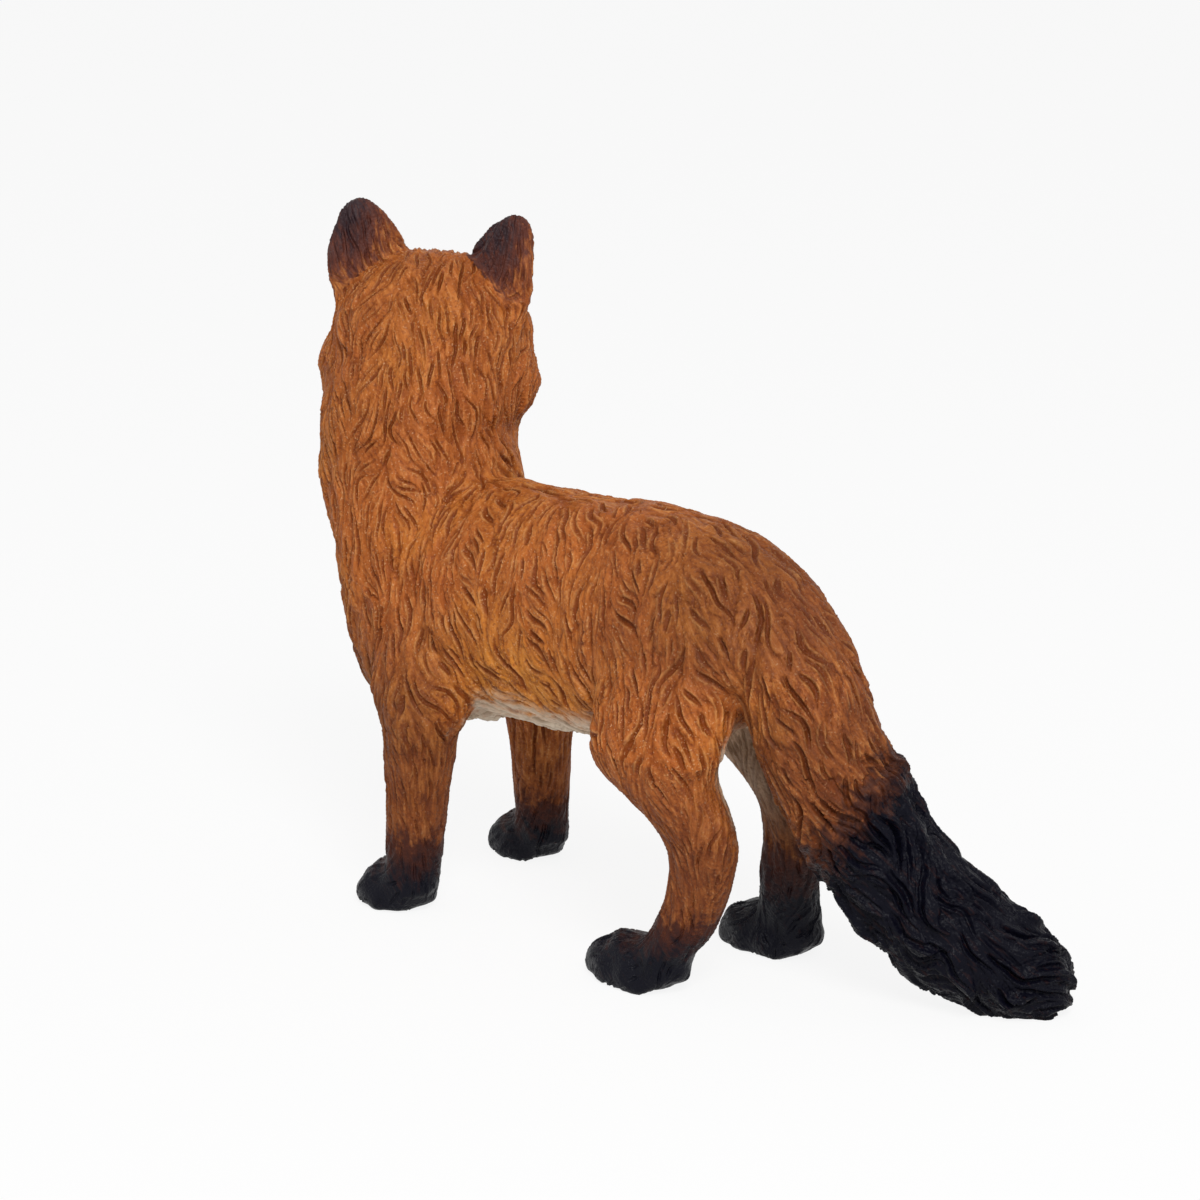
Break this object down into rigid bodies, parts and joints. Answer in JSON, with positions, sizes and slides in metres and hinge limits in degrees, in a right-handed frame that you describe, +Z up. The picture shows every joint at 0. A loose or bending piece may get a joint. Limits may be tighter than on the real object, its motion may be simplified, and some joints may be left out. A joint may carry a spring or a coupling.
{
  "type": "fox figurine",
  "caption": "Standing fox figurine in moulded plastic with fur relief, head turned to its right, ears up and the tail's brush resting on the ground.",
  "frame": {"origin": "middle of the bounding box, on the ground plane that the soles stand on", "axes": "+Z up, -Y the way the fox's body faces, +X to the fox's left"},
  "size_m": [0.0292, 0.082, 0.0646],
  "materials": {
    "body_fur": "moulded fur, airbrushed orange brown, satin",
    "head_fur": "moulded fur, airbrushed orange brown, satin",
    "ear_fur": "moulded fur, airbrushed dark brown, satin",
    "leg_fur": "moulded fur, orange brown shaded to black paws, satin",
    "tail_fur": "moulded fur, airbrushed near black, satin"
  },
  "bodies": {
    "root": {"body": "body_fur", "head": "head_fur", "left_ear": "ear_fur", "right_ear": "ear_fur", "tail": "tail_fur", "left_foreleg": "leg_fur", "right_foreleg": "leg_fur", "left_hind_leg": "leg_fur", "right_hind_leg": "leg_fur"}
  },
  "joints": []
}
